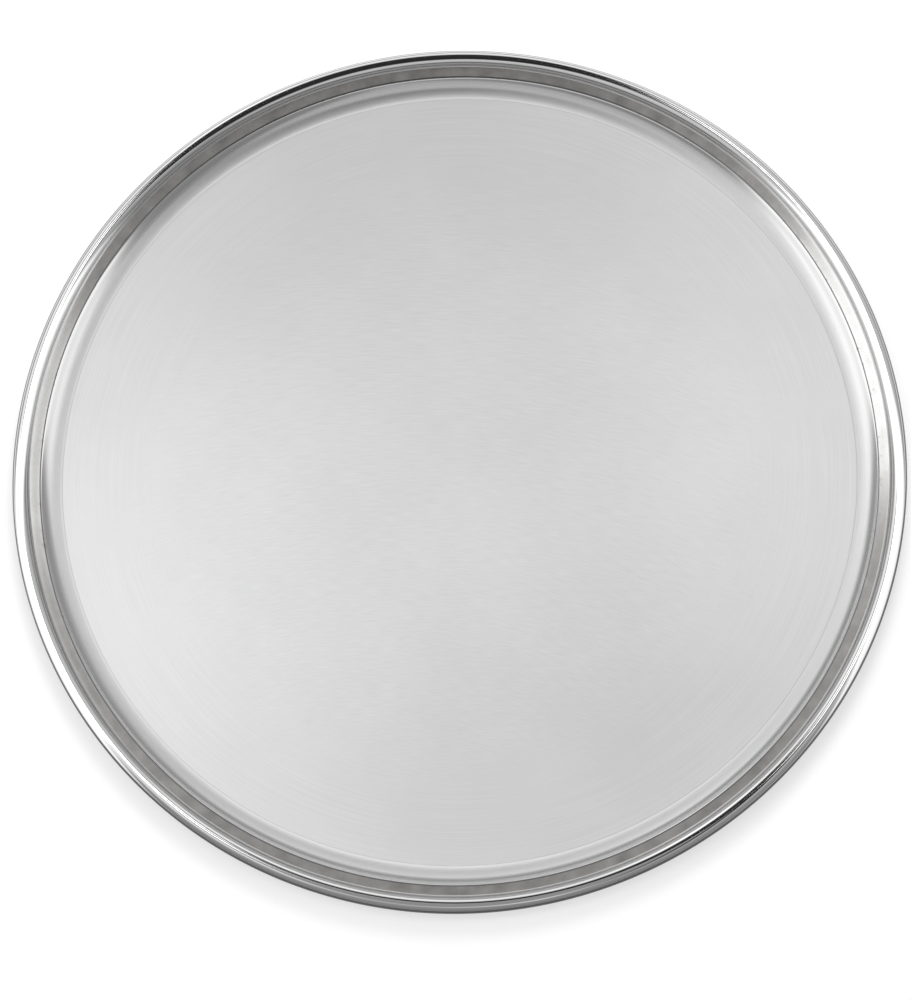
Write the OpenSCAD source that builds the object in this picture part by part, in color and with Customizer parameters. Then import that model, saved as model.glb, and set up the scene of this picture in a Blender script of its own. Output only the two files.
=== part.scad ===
// Round metal pizza plate: one sheet, pressed to a flat floor inside a wall with two bands,
// and rolled outwards at the rim round a stiffening wire.
// Millimetres. The origin is the centre of the underside, +Z is up, and the plate stands on z = 0.

/* [Plate] */
// Outside diameter, over the rolled rim
plate_d = 320; // [200:1:450]
// Thickness of the sheet
sheet_t = 0.8; // [0.5:0.05:1.2]

/* [Wall] */
// Radius of the cove that lifts the wall off the floor, on the food side
cove_r = 9; // [4:0.5:18]
// Slope of the wall at the top of that cove, in degrees from level
cove_slope = 50; // [35:1:70]
// Radius of the crease between the cove and the ledge, on the food side
crease_r = 1.3; // [1.3:0.1:4]
// Slope of the ledge, in degrees from level
ledge_slope = 13; // [0:1:30]
// Width of the ledge, along its slope
ledge_w = 3.4; // [0.5:0.1:8]
// Radius of the bend between the ledge and the rolled rim, on the food side
lip_r = 1.1; // [1:0.1:6]
// Slope of the wall where the rim starts to roll, in degrees from level
lip_slope = 74; // [60:1:88]

/* [Rim] */
// Diameter of the wire inside the rolled rim
wire_d = 4; // [2.5:0.1:6]
// Play between the wire and the sheet that is rolled round it
wire_play = 0.1; // [0.05:0.05:0.3]
// Gap between the free edge of the roll and the outside of the wall
curl_gap = 0.6; // [0.4:0.1:1.5]
// Gap between the two cut ends of the wire
wire_gap = 1; // [0.5:0.1:4]

/* [Hidden] */
$fn = 180;

// Largest turn of the sheet between two points of a bend, in degrees
bend_step = 6;

// Which way the sheet turns in a bend, seen in section with the rim to the right
LEFT = 1;
RIGHT = -1;

// The sheet leaves the floor level, and each bend takes it to the next slope.
// A bend is [which way it turns, radius on the food side, slope before, slope after].
bead_r = wire_d / 2 + wire_play + sheet_t;
cove = [LEFT, cove_r, 0, cove_slope];
crease = [RIGHT, crease_r, cove_slope, ledge_slope];
lip = [LEFT, lip_r, ledge_slope, lip_slope];

// The roll starts where the lip ends, so the centres of the two bends are this far apart.
// The roll ends where its outer face comes within curl_gap of the outside of the lip.
roll_to_lip = bead_r + lip_r;
lip_clear_r = lip_r + sheet_t + curl_gap;
curl_open = acos((roll_to_lip ^ 2 + bead_r ^ 2 - lip_clear_r ^ 2) / (2 * roll_to_lip * bead_r));
curl = [RIGHT, bead_r, lip_slope, lip_slope - (360 - curl_open)];

// Unit vectors along a heading in degrees, and to its left
function along(heading) = [cos(heading), sin(heading)];
function left_of(heading) = [-sin(heading), cos(heading)];

// Steps from the start of a bend to its centre, and from its start to its end
function to_centre(bend) = bend[0] * bend[1] * left_of(bend[2]);
function to_end(bend) = to_centre(bend) - bend[0] * bend[1] * left_of(bend[3]);

// Points after the start of a bend, on the face that lies depth below the food side
function bend_points(start, bend, depth) =
    let (steps = ceil(abs(bend[3] - bend[2]) / bend_step))
    [for (i = [1 : steps])
        start + to_centre(bend)
        - (bend[0] * bend[1] + depth) * left_of(bend[2] + (bend[3] - bend[2]) * i / steps)];

// Places in section, as [distance from the axis, height], on the food side
to_ledge_end = ledge_w * along(ledge_slope);
wall_run = (to_end(cove) + to_end(crease) + to_ledge_end + to_end(lip) + to_centre(curl))[0];
floor_edge = [plate_d / 2 - bead_r - wall_run, sheet_t];
crease_start = floor_edge + to_end(cove);
ledge_start = crease_start + to_end(crease);
lip_start = ledge_start + to_ledge_end;
curl_start = lip_start + to_end(lip);
wire_centre = curl_start + to_centre(curl);

// One face of the sheet in section, from the axis out to the free edge of the roll
function sheet_face(depth) = concat(
    [[0, sheet_t - depth], floor_edge - depth * left_of(0)],
    bend_points(floor_edge, cove, depth),
    bend_points(crease_start, crease, depth),
    [lip_start - depth * left_of(ledge_slope)],
    bend_points(lip_start, lip, depth),
    bend_points(curl_start, curl, depth));

function reversed(list) = [for (i = [len(list) - 1 : -1 : 0]) list[i]];

// The pressed and rolled sheet
module plate_shell() {
    color("gainsboro")
        rotate_extrude()
            polygon(concat(sheet_face(0), reversed(sheet_face(sheet_t))));
}

// The hoop of wire that the rim is rolled round, open by a small gap where its ends meet
module rim_wire() {
    open_angle = wire_gap / wire_centre[0] * 180 / PI;
    color("darkgray")
        rotate([0, 0, 90 + open_angle / 2])
            rotate_extrude(angle = 360 - open_angle)
                translate(wire_centre)
                    circle(d = wire_d);
}

plate_shell();
rim_wire();
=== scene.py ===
import math
import bmesh
import bpy
from mathutils import Matrix, Vector, noise


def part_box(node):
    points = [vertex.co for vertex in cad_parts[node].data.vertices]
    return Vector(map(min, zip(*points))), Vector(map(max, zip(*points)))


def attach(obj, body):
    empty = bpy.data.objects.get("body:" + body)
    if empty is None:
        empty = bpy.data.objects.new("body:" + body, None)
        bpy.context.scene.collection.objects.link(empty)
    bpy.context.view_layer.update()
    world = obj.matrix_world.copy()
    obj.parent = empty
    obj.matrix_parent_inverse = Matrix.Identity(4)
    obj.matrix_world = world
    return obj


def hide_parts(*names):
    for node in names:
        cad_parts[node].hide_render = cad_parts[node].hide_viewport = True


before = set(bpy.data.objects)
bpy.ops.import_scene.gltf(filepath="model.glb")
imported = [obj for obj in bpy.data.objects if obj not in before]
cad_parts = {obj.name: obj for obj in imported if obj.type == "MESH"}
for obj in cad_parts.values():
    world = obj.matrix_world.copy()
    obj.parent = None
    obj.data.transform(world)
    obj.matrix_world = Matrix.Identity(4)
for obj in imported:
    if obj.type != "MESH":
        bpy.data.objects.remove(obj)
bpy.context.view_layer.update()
scene = bpy.context.scene
scene.view_settings.view_transform = "Standard"
print("frame loaded, nodes:", sorted(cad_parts))


class Wire:
    # a node's output, so that shader maths reads as a formula
    def __init__(self, graph, socket):
        self.graph = graph
        self.socket = socket

    def maths(self, operation, *others):
        return self.graph.maths(operation, self, *others)

    def __add__(self, other):
        return self.maths("ADD", other)

    def __radd__(self, other):
        return self.graph.maths("ADD", other, self)

    def __sub__(self, other):
        return self.maths("SUBTRACT", other)

    def __rsub__(self, other):
        return self.graph.maths("SUBTRACT", other, self)

    def __mul__(self, other):
        return self.maths("MULTIPLY", other)

    def __rmul__(self, other):
        return self.graph.maths("MULTIPLY", other, self)

    def __truediv__(self, other):
        return self.maths("DIVIDE", other)

    def __rtruediv__(self, other):
        return self.graph.maths("DIVIDE", other, self)

    def __pow__(self, other):
        return self.maths("POWER", other)


class Graph:
    # the node tree of one material or of the world
    def __init__(self, owner):
        owner.use_nodes = True
        self.tree = owner.node_tree
        self.tree.nodes.clear()

    def node(self, kind, settings=None, sockets=None, output=0):
        made = self.tree.nodes.new(kind)
        for name, value in (settings or {}).items():
            if name == "stops":
                self.setStops(made.color_ramp, value)
            else:
                setattr(made, name, value)
        for name, value in (sockets or {}).items():
            if isinstance(value, Wire):
                self.tree.links.new(value.socket, made.inputs[name])
            else:
                made.inputs[name].default_value = value
        return Wire(self, made.outputs[output]) if made.outputs else None

    def setStops(self, ramp, stops):
        while len(ramp.elements) < len(stops):
            ramp.elements.new(0.5)
        for element, (place, tone) in zip(ramp.elements, stops):
            element.position = place
            element.color = (tone, tone, tone, 1)

    def maths(self, operation, *values):
        return self.node("ShaderNodeMath", {"operation": operation}, dict(enumerate(values)))

    def between(self, low, high, value):
        # 0 below low, 1 above high, smooth between
        return self.node(
            "ShaderNodeMapRange",
            {"interpolation_type": "SMOOTHSTEP"},
            {"Value": value, "From Min": low, "From Max": high},
        )

    def mixColour(self, share, first, second):
        return self.node(
            "ShaderNodeMix", {"data_type": "RGBA"}, {0: share, 6: first, 7: second}, output=2
        )

    def vector(self, x, y, z):
        return self.node("ShaderNodeCombineXYZ", None, {0: x, 1: y, 2: z})

    def grain(self, place, detail=2.0, scale=1.0):
        return self.node(
            "ShaderNodeTexNoise", None, {"Vector": place, "Scale": scale, "Detail": detail}
        )

    def relief(self, height, depth):
        return self.node("ShaderNodeBump", None, {"Strength": 1.0, "Distance": depth, "Height": height})

    def place(self):
        # object coordinates, in metres in the plate's own frame
        return self.split(self.node("ShaderNodeTexCoord", output=3))

    def split(self, point):
        parts = self.node("ShaderNodeSeparateXYZ", None, {0: point}).socket.node.outputs
        return [Wire(self, parts[k]) for k in range(3)]

    def steel(self, **sockets):
        return self.node("ShaderNodeBsdfPrincipled", None, {"Metallic": 1.0, **sockets})

    def show(self, shader, kind="ShaderNodeOutputMaterial"):
        self.node(kind, None, {"Surface": shader})


# the section of the sheet, from the centre out to the free edge of the roll
plate = {
    "sheet": 0.0008,
    "coveRadius": 0.009,
    "coveSlope": 50,
    "creaseRadius": 0.0013,
    "ledgeSlope": 13,
    "ledgeWidth": 0.0034,
    "lipRadius": 0.0011,
    "lipSlope": 74,
    "wirePlay": 0.0001,
    "curlGap": 0.0006,
    "bendStep": 5,
    "floorRings": 26,
    "ledgeSteps": 3,
    "segments": 320,
    "floorWave": 0.00016,
    "floorWaveScale": 16,
    "rimWave": 0.00014,
    "rimPushScale": 1.7,
    "rimLiftScale": 2.1,
}

shellLow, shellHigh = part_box("plate_shell")
wireLow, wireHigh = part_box("rim_wire")
outerRadius = max(shellHigh.x, shellHigh.y, -shellLow.x, -shellLow.y)
wireRadius = (wireHigh.z - wireLow.z) / 2
wireHeight = (wireHigh.z + wireLow.z) / 2
beadRadius = wireRadius + plate["wirePlay"] + plate["sheet"]
hoopRadius = outerRadius - beadRadius


def heading(degrees):
    return Vector((math.cos(math.radians(degrees)), math.sin(math.radians(degrees))))


def leftOf(degrees):
    return heading(degrees + 90)


def bendStep(turn, radius, before, after):
    # from the start of a bend to its end; turn is 1 to the left, -1 to the right
    return turn * radius * (leftOf(before) - leftOf(after))


def bend(start, turn, radius, before, after, depth):
    steps = math.ceil(abs(after - before) / plate["bendStep"])
    centre = start + turn * radius * leftOf(before)
    reach = turn * radius + depth
    angles = [before + (after - before) * k / steps for k in range(1, steps + 1)]
    return [centre - reach * leftOf(angle) for angle in angles]


def curlTurn():
    apart = beadRadius + plate["lipRadius"]
    clear = plate["lipRadius"] + plate["sheet"] + plate["curlGap"]
    return 360 - math.degrees(math.acos((apart**2 + beadRadius**2 - clear**2) / (2 * apart * beadRadius)))


def sheetPath():
    # the bends in order: turn, radius on the food side, slope before, slope after
    cove = (1, plate["coveRadius"], 0, plate["coveSlope"])
    crease = (-1, plate["creaseRadius"], plate["coveSlope"], plate["ledgeSlope"])
    lip = (1, plate["lipRadius"], plate["ledgeSlope"], plate["lipSlope"])
    curl = (-1, beadRadius, plate["lipSlope"], plate["lipSlope"] - curlTurn())
    return cove, crease, lip, curl


def bandRadii():
    # where each stretch of the section starts, as distances from the axis
    cove, crease, lip, curl = sheetPath()
    steps = [bendStep(*cove).x, bendStep(*crease).x]
    steps += [plate["ledgeWidth"] * heading(plate["ledgeSlope"]).x, bendStep(*lip).x]
    curlFrom = hoopRadius + beadRadius * leftOf(plate["lipSlope"]).x
    return [curlFrom - sum(steps[k:]) for k in range(5)]


floorEdge, creaseStart, ledgeStart, lipStart, curlStart = bandRadii()
print("bands start at", floorEdge, creaseStart, ledgeStart, lipStart, curlStart)


def sheetFace(depth):
    cove, crease, lip, curl = sheetPath()
    rings = plate["floorRings"]
    start = Vector((floorEdge, plate["sheet"]))
    face = [Vector((floorEdge * k / rings, plate["sheet"] - depth)) for k in range(rings + 1)]
    for number, turnOf in enumerate((cove, crease, lip, curl)):
        face += bend(start, *turnOf, depth)
        start = start + bendStep(*turnOf)
        if number == 1:
            along = plate["ledgeWidth"] * heading(plate["ledgeSlope"])
            down = depth * leftOf(plate["ledgeSlope"])
            steps = plate["ledgeSteps"]
            face += [start + along * (k / steps) - down for k in range(1, steps + 1)]
            start = start + along
    return face


def unevenness(point, scale, layer):
    # a smooth value from about -1 to 1; each layer has its own pattern
    return noise.noise(Vector((point.x * scale, point.y * scale, layer)))


def handWave(point):
    # the small unevenness of a pressed sheet: a floor that isn't quite flat, a rim that isn't quite true
    radius = math.hypot(point.x, point.y)
    if radius < 1e-9:
        return point + Vector((0, 0, plate["floorWave"]))
    across = Vector((point.x / radius, point.y / radius, 0))
    inside = max(0.0, 1 - (radius / floorEdge) ** 4)
    outside = min(1.0, max(0.0, (radius - floorEdge) / (outerRadius - floorEdge)))
    swell = 0.5 + 0.5 * unevenness(point, plate["floorWaveScale"], 3.0)
    push = unevenness(across, plate["rimPushScale"], 9.0)
    lift = unevenness(across, plate["rimLiftScale"], 21.0)
    moved = point + Vector((0, 0, plate["floorWave"] * 2 * swell * inside))
    return moved + outside * plate["rimWave"] * (push * across + Vector((0, 0, lift)))


def spin(name, section):
    # turns a section of (radius, height) points, which starts and ends on the plate's axis, round that axis
    mesh = bmesh.new()
    count = plate["segments"]
    turns = [heading(360 * k / count) for k in range(count)]
    loops = []
    for radius, height in section:
        around = turns if radius > 1e-9 else turns[:1]
        points = [Vector((radius * turn.x, radius * turn.y, height)) for turn in around]
        loops.append([mesh.verts.new(handWave(point)) for point in points])
    for inner, outer in zip(loops, loops[1:]):
        for k in range(count):
            after = (k + 1) % count
            if len(inner) == 1:
                mesh.faces.new((inner[0], outer[k], outer[after]))
            elif len(outer) == 1:
                mesh.faces.new((inner[k], outer[0], inner[after]))
            else:
                mesh.faces.new((inner[k], outer[k], outer[after], inner[after]))
    data = bpy.data.meshes.new(name)
    mesh.to_mesh(data)
    mesh.free()
    piece = bpy.data.objects.new(name, data)
    scene.collection.objects.link(piece)
    return piece


floorFinish = {
    "colour": (0.836, 0.835, 0.838, 1),
    "shadeColour": (0.756, 0.757, 0.763, 1),
    "roughness": 0.5,
    "strokeCentre": (-0.08, -0.30),
    "strokePitch": 2200,
    "strokeLength": 40,
    "wander": 0.0016,
    "wanderPitch": 70,
    "cloudPitch": 17,
    "lineShare": 0.55,
    "lineRough": 0.12,
    "cloudRough": 0.06,
    "grainDepth": 0.000006,
    "ringPitch": 2600,
    "turnedFrom": 0.085,
    "turnedTo": 0.138,
    "fanFrom": 0.02,
    "fanTo": 0.13,
    "fan": 0.42,
}


def turnedLines(g, x, y, radius, pitch):
    # fine lines round the plate's axis
    return g.grain(g.vector(x / radius * 3, y / radius * 3, radius * pitch), 3.0)


def twoTone(g, shade, finish):
    return g.mixColour(g.between(0.3, 0.7, shade), finish["shadeColour"], finish["colour"])


def floorSteel():
    made = bpy.data.materials.new("brushed_floor_steel")
    g = Graph(made)
    x, y = g.place()[:2]
    radius = (x * x + y * y) ** 0.5
    # short curved strokes of the brush, which wander a little
    wander = floorFinish["wander"] * g.grain(g.vector(x, y, 0), 2.0, floorFinish["wanderPitch"])
    strokeX, strokeY = floorFinish["strokeCentre"]
    dx = x - strokeX
    dy = y - strokeY
    reach = (dx * dx + dy * dy) ** 0.5 + wander
    swing = dy.maths("ARCTAN2", dx)
    across = reach * floorFinish["strokePitch"]
    along = swing * floorFinish["strokeLength"]
    strokes = g.grain(g.vector(across, along, 0), 3.0)
    # lines turned round the axis take over towards the wall
    nearWall = g.between(floorFinish["turnedFrom"], floorFinish["turnedTo"], radius)
    rings = turnedLines(g, x, y, radius, floorFinish["ringPitch"])
    lines = strokes * (1 - nearWall) + rings * nearWall
    clouds = g.grain(g.vector(x, y, 0), 3.0, floorFinish["cloudPitch"])
    shade = floorFinish["lineShare"] * lines + (1 - floorFinish["lineShare"]) * clouds
    colour = twoTone(g, shade, floorFinish)
    roughness = floorFinish["roughness"] + floorFinish["lineRough"] * (lines - 0.5)
    roughness = roughness + floorFinish["cloudRough"] * (clouds - 0.5)
    bump = g.relief(lines, floorFinish["grainDepth"])
    finish = {"Base Color": colour, "Roughness": roughness, "Normal": bump}
    # the turned steel spreads its reflections into a fan
    plain = g.steel(**finish)
    turned = g.steel(**finish, **{"Anisotropic": floorFinish["fan"], "Anisotropic Rotation": 0.25})
    fan = g.between(floorFinish["fanFrom"], floorFinish["fanTo"], radius)
    g.show(g.node("ShaderNodeMixShader", None, {0: fan, 1: plain, 2: turned}))
    return made


# the wall and the rim; each band, from the floor's edge outwards, has how bright the steel is and how rough
wallFinish = {
    "bandStart": 0.140,
    "bandEnd": 0.160,
    "ringRough": 0.06,
    "ringRelief": 0.15,
    "beadRelief": 0.2,
    "grainDepth": 0.000006,
    # the next colour is painted shade: a near-black outline painted on the outside of the roll
    "paintedOutlineShadeColour": (0.07, 0.07, 0.072, 1),
    "dullRoughness": 0.22,
    "dullShadeFade": 0.0003,
    "dullShadeBelow": 0.55,
    "brightAbove": 0.80,
    "wornColour": (0.58, 0.565, 0.545, 1),
    "wornRoughness": 0.5,
    "worn": 0.45,
    "patchPitch": 150,
    "pitPitch": 800,
    "pitColour": (0.10, 0.095, 0.09, 1),
    "pitDark": 0.6,
    # the first band is a dark line of painted shade where the floor meets the wall; the edge band after it
    # is a painted highlight line
    "paintedFootShade": (0.60, 0.5),
    "edge": (0.82, 0.5),
    "foot": (0.70, 0.44),
    "cove": (0.70, 0.20),
    # the crease is painted brighter than the cove and the ledge: a painted highlight along the crease; its
    # low roughness is real
    "crease": (0.80, 0.10),
    # the next band is a dark line painted along the ledge's inner edge: painted shade in the crease
    "line": (0.14, 0.30),
    "ledge": (0.74, 0.12),
    "lip": (0.58, 0.12),
    "bead": (0.84, 0.06),
}


def bandStops(which):
    # which is 0 for how bright the bands are, 1 for how rough
    run = wallFinish["bandEnd"] - wallFinish["bandStart"]
    places = [
        # a painted dark line, then a painted highlight line, at the floor's edge
        ("paintedFootShade", floorEdge + 0.0001),
        ("edge", floorEdge + 0.0004),
        ("foot", floorEdge + 0.0012),
        ("foot", floorEdge + 0.0030),
        ("cove", floorEdge + 0.0050),
        ("cove", creaseStart - 0.0006),
        ("crease", creaseStart),
        ("crease", ledgeStart - 0.0003),
        # painted shade: a dark line at the ledge's inner edge
        ("line", ledgeStart - 0.0002),
        ("line", ledgeStart + 0.0001),
        ("ledge", ledgeStart + 0.0003),
        ("ledge", lipStart),
        ("lip", lipStart + 0.0004),
        ("lip", curlStart + 0.0006),
        ("bead", curlStart + 0.0009),
    ]
    return [((radius - wallFinish["bandStart"]) / run, wallFinish[name][which]) for name, radius in places]


def wallSteel():
    made = bpy.data.materials.new("polished_wall_steel")
    g = Graph(made)
    x, y, z = g.place()
    radius = (x * x + y * y) ** 0.5
    band = (radius - wallFinish["bandStart"]) / (wallFinish["bandEnd"] - wallFinish["bandStart"])
    tone = g.node("ShaderNodeValToRGB", {"stops": bandStops(0)}, {0: band})
    rough = g.node("ShaderNodeValToRGB", {"stops": bandStops(1)}, {0: band})
    rings = turnedLines(g, x, y, radius, floorFinish["ringPitch"])
    onBead = g.between(curlStart - 0.0006, curlStart, radius)
    # the outside of the roll is left dull and rougher, and its colour is painted near-black: painted shade
    # along the rim's outline
    rise = (z - wireHeight) / beadRadius
    pastCrown = g.between(hoopRadius - wallFinish["dullShadeFade"], hoopRadius + wallFinish["dullShadeFade"], radius)
    outside = pastCrown * (1 - g.between(wallFinish["dullShadeBelow"], wallFinish["brightAbove"], rise))
    # pits in patches, from the crease out over the ledge
    patches = g.grain(g.vector(x, y, z), 4.0, wallFinish["patchPitch"])
    specks = g.between(0.60, 0.66, g.grain(g.vector(x, y, z), 1.0, wallFinish["pitPitch"]))
    pits = specks * g.between(0.45, 0.65, patches)
    pitted = pits * g.between(creaseStart, ledgeStart, radius)
    pitted = pitted * (1 - g.between(ledgeStart, lipStart, radius))
    colour = g.mixColour(wallFinish["pitDark"] * pitted, tone, wallFinish["pitColour"])
    # painted shade: the outside of the roll is painted near-black
    colour = g.mixColour(outside, colour, wallFinish["paintedOutlineShadeColour"])
    roughness = rough + wallFinish["ringRough"] * (rings - 0.5) * (1 - onBead)
    roughness = roughness + wallFinish["dullRoughness"] * outside
    height = wallFinish["ringRelief"] * rings * (1 - (1 - wallFinish["beadRelief"]) * onBead)
    bump = g.relief(height, wallFinish["grainDepth"])
    polished = g.steel(**{"Base Color": colour, "Roughness": roughness, "Normal": bump})
    # a worn film over the ledge
    filmLook = {"Base Color": wallFinish["wornColour"], "Roughness": wallFinish["wornRoughness"]}
    film = g.steel(**filmLook, Normal=bump)
    onLedge = g.between(ledgeStart, ledgeStart + 0.0004, radius)
    onLedge = onLedge * (1 - g.between(lipStart, curlStart, radius))
    worn = onLedge * (wallFinish["worn"] + 0.5 * (patches - 0.5))
    g.show(g.node("ShaderNodeMixShader", None, {0: worn, 1: polished, 2: film}))
    return made


undersideFinish = {
    "colour": (0.66, 0.66, 0.67, 1),
    "shadeColour": (0.56, 0.56, 0.57, 1),
    "roughness": 0.42,
    "shadeRough": 0.16,
    "ringPitch": 1900,
    "cloudPitch": 22,
    "grainDepth": 0.000006,
}


def undersideSteel():
    made = bpy.data.materials.new("pressed_steel_underside")
    g = Graph(made)
    x, y, z = g.place()
    radius = (x * x + y * y) ** 0.5 + 0.0001  # never 0, because the rings divide by it
    rings = turnedLines(g, x, y, radius, undersideFinish["ringPitch"])
    clouds = g.grain(g.vector(x, y, z), 4.0, undersideFinish["cloudPitch"])
    shade = 0.5 * rings + 0.5 * clouds
    colour = twoTone(g, shade, undersideFinish)
    roughness = undersideFinish["roughness"] + undersideFinish["shadeRough"] * (shade - 0.5)
    bump = g.relief(rings, undersideFinish["grainDepth"])
    g.show(g.steel(**{"Base Color": colour, "Roughness": roughness, "Normal": bump}))
    return made


def makeShell():
    food = sheetFace(0)
    under = sheetFace(plate["sheet"])
    section = food + under[::-1]
    piece = spin("plate_shell_sheet", section)
    mesh = piece.data
    for made in (floorSteel(), wallSteel(), undersideSteel()):
        mesh.materials.append(made)
    floorFaces = plate["floorRings"] * plate["segments"]
    foodFaces = (len(food) - 1) * plate["segments"]
    for face in mesh.polygons:
        face.use_smooth = True
        face.material_index = (face.index >= floorFaces) + (face.index >= foodFaces)
    # the cut edge of the sheet, at the end of the roll, keeps its two corners
    cutEdge = (len(food) - 1, len(food))
    ringOf = [(vertex.index - 1) // plate["segments"] + 1 for vertex in mesh.vertices]
    for edge in mesh.edges:
        first, second = [ringOf[k] for k in edge.vertices]
        edge.use_edge_sharp = first == second and first in cutEdge
    return piece


shell = makeShell()
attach(shell, "root")
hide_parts("plate_shell")
print("plate shell:", len(shell.data.polygons), "faces")


wireFinish = {
    "colour": (0.5, 0.5, 0.51, 1),
    "shadeColour": (0.38, 0.38, 0.39, 1),
    "roughness": 0.34,
    "linePitch": 5000,
    "lineRise": 3000,
    "lineRough": 0.2,
    "grainDepth": 0.000008,
}


def drawnWire():
    made = bpy.data.materials.new("drawn_steel_wire")
    g = Graph(made)
    x, y, z = g.place()
    radius = (x * x + y * y) ** 0.5
    # lines along the wire
    across = radius * wireFinish["linePitch"] + z * wireFinish["lineRise"]
    lines = g.grain(g.vector(x / radius * 4, y / radius * 4, across), 2.0)
    colour = g.mixColour(lines, wireFinish["shadeColour"], wireFinish["colour"])
    roughness = wireFinish["roughness"] + wireFinish["lineRough"] * (lines - 0.5)
    bump = g.relief(lines, wireFinish["grainDepth"])
    g.show(g.steel(**{"Base Color": colour, "Roughness": roughness, "Normal": bump}))
    return made


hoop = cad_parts["rim_wire"]
hoop.data.materials.clear()
hoop.data.materials.append(drawnWire())

# the studio: a pale floor in a grey room, with a dark panel and two softboxes overhead and windows round it
studio = {
    "floorSize": 12.0,
    "floorDrop": 0.0002,
    "floorTone": 0.45,
    "whiteLift": 0.58,
    "lean": 18,
    "darkMiddle": (0.0, 0.07),
    "darkWidth": 0.33,
    "darkLength": 0.62,
    "darkTone": 0.03,
    "farTone": 0.77,
    "nearTone": 0.58,
    "boxAside": 0.15,
    "boxBack": 0.27,
    "boxWidth": 0.075,
    "boxLength": 0.17,
    "boxTone": 3.7,
    "wallFrom": 42,
    "wallTo": 72,
    "wallDim": 0.42,
    "windowFade": 6,
}
# the windows of the room: bearing and half width in degrees, where it starts and ends, in degrees from
# the middle of the ceiling, and its tone
windows = {
    "left": (184, 21, 27, 150, 1.15),
    "left_pane": (190, 19, 8, 32, 2.1),
    "right": (341, 18, 15, 150, 1.05),
    "back": (80, 36, 30, 54, 0.45),
    "upper_left": (133, 30, 27, 54, 0.45),
    "lower_left": (222, 18, 27, 54, 0.1),
}
# lamps, which all face the plate: place, width and depth, tone, and whether the metal mirrors it
lamps = {
    "front_fill": ((-0.09, -0.12, 0.235), (0.40, 0.24), 0.22, True),
    "shadow_lamp": ((0.27, 1.0, 0.87), (0.60, 0.60), 8.0, False),
}


def paleFloor():
    made = bpy.data.materials.new("pale_floor")
    g = Graph(made)
    tone = studio["floorTone"]
    matte = g.node("ShaderNodeBsdfDiffuse", None, {"Color": (tone, tone, tone, 1)})
    # the floor looks white to the eye and in the metal, and keeps the plate's shadow
    rays = g.node("ShaderNodeLightPath").socket.node.outputs
    kinds = ("Is Camera Ray", "Is Glossy Ray", "Is Transmission Ray")
    looked, mirrored, through = [Wire(g, rays[kind]) for kind in kinds]
    seen = looked + mirrored + through
    lift = g.node("ShaderNodeEmission", None, {"Strength": studio["whiteLift"] * seen})
    g.show(g.node("ShaderNodeAddShader", None, {0: matte, 1: lift}))
    return made


def makeFloor():
    mesh = bmesh.new()
    bmesh.ops.create_circle(mesh, cap_ends=True, segments=96, radius=studio["floorSize"])
    data = bpy.data.meshes.new("studio_floor")
    mesh.to_mesh(data)
    mesh.free()
    piece = bpy.data.objects.new("studio_floor", data)
    piece.location.z = -studio["floorDrop"]
    data.materials.append(paleFloor())
    scene.collection.objects.link(piece)


def window(g, x, y, away, bearing, halfWidth, nearest, furthest, tone):
    # a soft-edged patch of the room
    across = math.radians(bearing)
    ahead = x * math.cos(across) + y * math.sin(across)
    aside = y * math.cos(across) - x * math.sin(across)
    angle = aside.maths("ARCTAN2", ahead).maths("ABSOLUTE")
    edge = math.radians(halfWidth)
    start = math.radians(nearest)
    end = math.radians(furthest)
    fade = math.radians(studio["windowFade"])
    inside = 1 - g.between(edge * 0.75, edge * 1.25, angle)
    inside = inside * g.between(start - fade, start + fade, away)
    return tone * inside * (1 - g.between(end - fade, end + fade, away))


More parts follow.
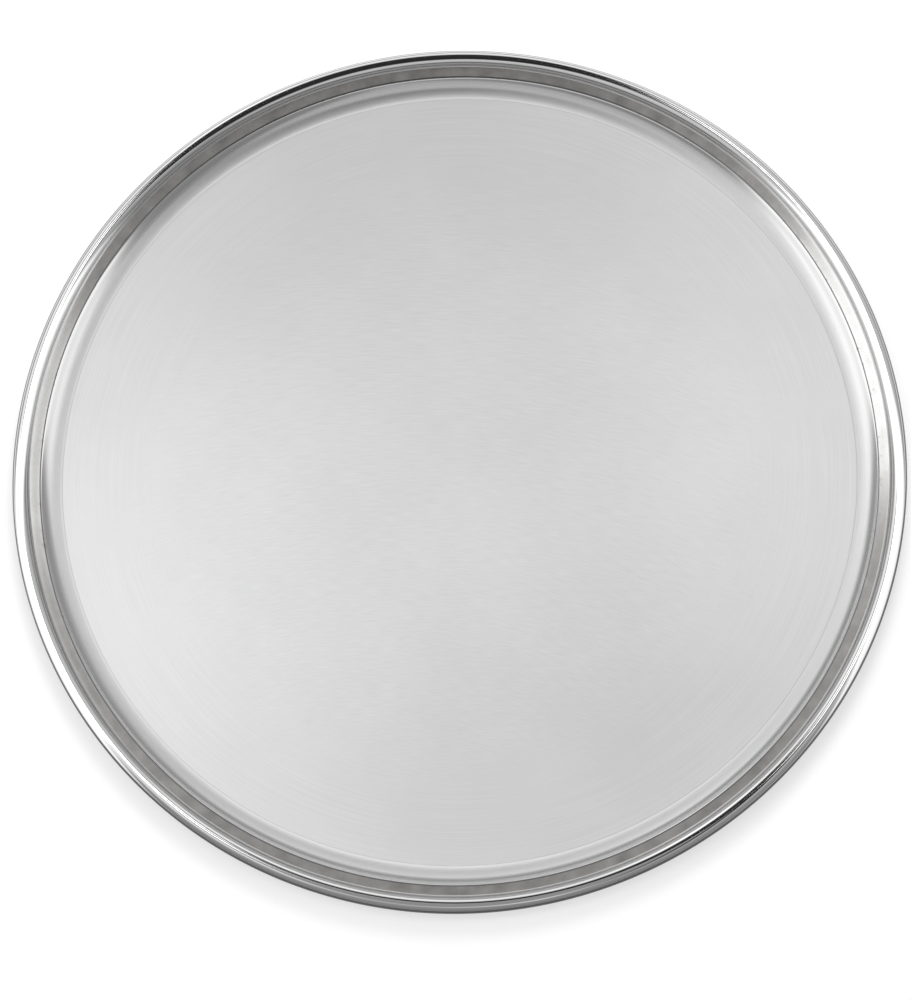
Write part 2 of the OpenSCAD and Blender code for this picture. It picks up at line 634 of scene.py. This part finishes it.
def makeRoom():
    world = bpy.data.worlds.new("studio_room")
    scene.world = world
    g = Graph(world)
    x, y, z = g.split(g.node("ShaderNodeTexCoord"))
    # the middle of the ceiling leans back, as the photograph's camera does
    lean = math.radians(studio["lean"])
    back = y * math.cos(lean) - z * math.sin(lean)
    away = (y * math.sin(lean) + z * math.cos(lean)).maths("ARCCOSINE")
    far = g.between(-0.3, 0.3, back)
    tone = studio["nearTone"] * (1 - far) + studio["farTone"] * far
    # the walls are dimmer than the ceiling
    low = g.between(math.radians(studio["wallFrom"]), math.radians(studio["wallTo"]), away)
    tone = tone * (1 - studio["wallDim"] * low)
    # the dark panel of the ceiling, which the crown of the rim and the ledge mirror
    middleX, middleY = studio["darkMiddle"]
    aside = (x - middleX) / studio["darkWidth"]
    along = (y - middleY) / studio["darkLength"]
    lit = g.between(0.82, 1.0, (aside**4 + along**4) ** 0.25)
    tone = studio["darkTone"] * (1 - lit) + tone * lit
    # two softboxes inside that panel, which light the floor
    offX = (x.maths("ABSOLUTE") - studio["boxAside"]) / studio["boxWidth"]
    offY = (y - studio["boxBack"]) / studio["boxLength"]
    outsideBox = g.between(0.85, 1.15, (offX * offX + offY * offY) ** 0.5)
    tone = tone + studio["boxTone"] * (1 - outsideBox)
    for patch in windows.values():
        tone = tone + window(g, x, back, away, *patch)
    g.show(g.node("ShaderNodeBackground", None, {"Strength": tone}), "ShaderNodeOutputWorld")


def softLamp(name, place, size, tone, mirrored):
    lamp = bpy.data.lights.new(name, "AREA")
    lamp.shape = "RECTANGLE"
    lamp.size, lamp.size_y = size
    lamp.energy = tone * 4 * lamp.size * lamp.size_y  # 4 W per square metre shines at a tone of 1
    piece = bpy.data.objects.new(name, lamp)
    piece.location = place
    piece.rotation_euler = Vector(place).to_track_quat("Z", "Y").to_euler()
    scene.collection.objects.link(piece)
    piece.visible_camera = False
    piece.visible_glossy = mirrored


makeFloor()
makeRoom()
for name, lamp in lamps.items():
    softLamp(name, *lamp)
print("studio ready")

# the view of the photograph: tilt is off the plate's axis, roll turns the picture
view = {
    "tilt": 15.3,
    "roll": 10.2,
    "distance": 1.1,
    "lens": 110.5,
    "aim": (-0.0026, -0.01075, 0.0),
}


def makeCamera():
    tilt = math.radians(view["tilt"])
    roll = math.radians(view["roll"])
    back = Vector((0, -math.sin(tilt), math.cos(tilt)))
    rise = Vector((0, math.cos(tilt), math.sin(tilt)))
    side = Vector((1, 0, 0))
    right = math.cos(roll) * side - math.sin(roll) * rise
    up = math.sin(roll) * side + math.cos(roll) * rise
    lens = bpy.data.cameras.new("camera")
    lens.lens = view["lens"]
    piece = bpy.data.objects.new("camera", lens)
    turn = Matrix((right, up, back)).transposed().to_4x4()
    piece.matrix_world = Matrix.Translation(Vector(view["aim"]) + view["distance"] * back) @ turn
    scene.collection.objects.link(piece)
    scene.camera = piece


makeCamera()
